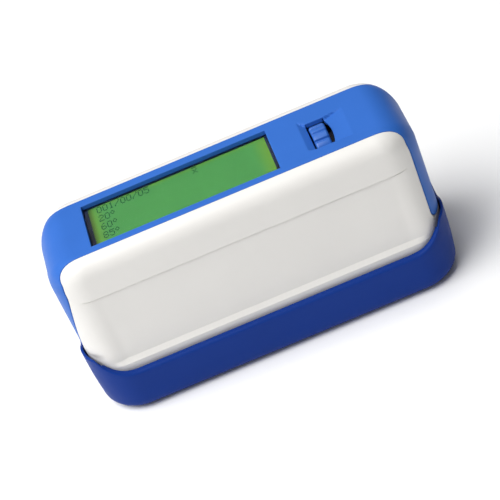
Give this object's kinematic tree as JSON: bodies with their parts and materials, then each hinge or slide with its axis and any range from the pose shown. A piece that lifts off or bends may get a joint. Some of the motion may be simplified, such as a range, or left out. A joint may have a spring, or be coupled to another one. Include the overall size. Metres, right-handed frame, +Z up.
{
  "type": "handheld gloss meter with calibration holder",
  "caption": "Handheld gloss meter for measuring surface sheen at several angles, with a scroll wheel and display, seated in its calibration holder.",
  "frame": {"origin": "centre of the underside of the holder's feet", "axes": "+X along the length, towards the scroll wheel's end; -Y is the front, the side nearest the user; +Z up, away from the table"},
  "size_m": [0.1584, 0.0552, 0.0798],
  "materials": {
    "white_shell": "fine moulded texture, satin",
    "blue_cover": "fine moulded texture, satin",
    "blue_holder": "fine moulded texture, satin",
    "blue_control": "satin",
    "grey_base": "matt",
    "black_rubber": "matt",
    "black_glass": "polished",
    "black_plastic": "matt",
    "steel": "satin",
    "clear_window": "polished",
    "screen": "smooth",
    "light_guide": "smooth",
    "circuit_board": "lacquered",
    "black_anodised": "anodised",
    "cell_wrap": "printed film",
    "nickel": "plated"
  },
  "bodies": {
    "holder": {"holder_shell": "blue_holder", "holder_feet": "black_rubber", "tile_pad": "black_rubber", "calibration_tile": "black_glass", "tile_frame": "black_plastic", "tile_screws": "steel"},
    "instrument": {"front_shell": "white_shell", "rear_shell": "white_shell", "top_cover": "blue_cover", "base_plate": "grey_base", "chassis": "black_plastic", "housing_screws": "steel", "base_screws": "steel", "chassis_screws": "steel", "display_window": "clear_window", "display_frame": "black_plastic", "display_panel": "screen", "display_backlight": "light_guide", "display_board": "circuit_board", "main_board": "circuit_board", "board_components": "black_plastic", "side_board": "circuit_board", "usb_socket": "steel", "operate_switch": "black_plastic", "optics_block": "black_anodised", "lamp_20": "light_guide", "lamp_60": "light_guide", "lamp_85": "light_guide", "source_lenses": "clear_window", "receiver_lenses": "clear_window", "detector_20": "steel", "detector_60": "steel", "detector_85": "steel", "battery_tray": "black_plastic", "battery_cell": "cell_wrap", "contact_plate": "nickel", "contact_spring": "nickel", "wheel_board": "circuit_board", "wheel_bracket": "black_plastic", "wheel_switch": "black_plastic", "wheel_spring": "steel", "door_pin": "steel"},
    "wheel_carrier": {"wheel_carrier": "black_plastic", "wheel_encoder": "black_plastic"},
    "scroll_wheel": {"scroll_wheel": "blue_control", "wheel_axle": "steel"},
    "operate_button": {"operate_button": "blue_control"},
    "battery_door": {"battery_door": "white_shell"}
  },
  "joints": [
    {"name": "instrument_lift", "type": "slide", "parent": "holder", "child": "instrument", "axis": [0, 0, 1], "range_m": [0, 0.09]},
    {"name": "wheel_press", "type": "slide", "parent": "instrument", "child": "wheel_carrier", "axis": [0, 0, -1], "range_m": [0, 0.0006], "stiffness_N_per_m": 2000},
    {"name": "wheel_turn", "type": "hinge", "parent": "wheel_carrier", "child": "scroll_wheel", "pos_m": [0.043, -0.0027, 0.0698], "axis": [1, 0, 0], "continuous": true},
    {"name": "operate_press", "type": "slide", "parent": "instrument", "child": "operate_button", "axis": [1, 0, 0], "range_m": [0, 0.0008], "stiffness_N_per_m": 1500},
    {"name": "door_turn", "type": "hinge", "parent": "instrument", "child": "battery_door", "pos_m": [-0.033, 0.0222, 0.0436], "axis": [-1, 0, 0], "range_deg": [0, 90]}
  ]
}
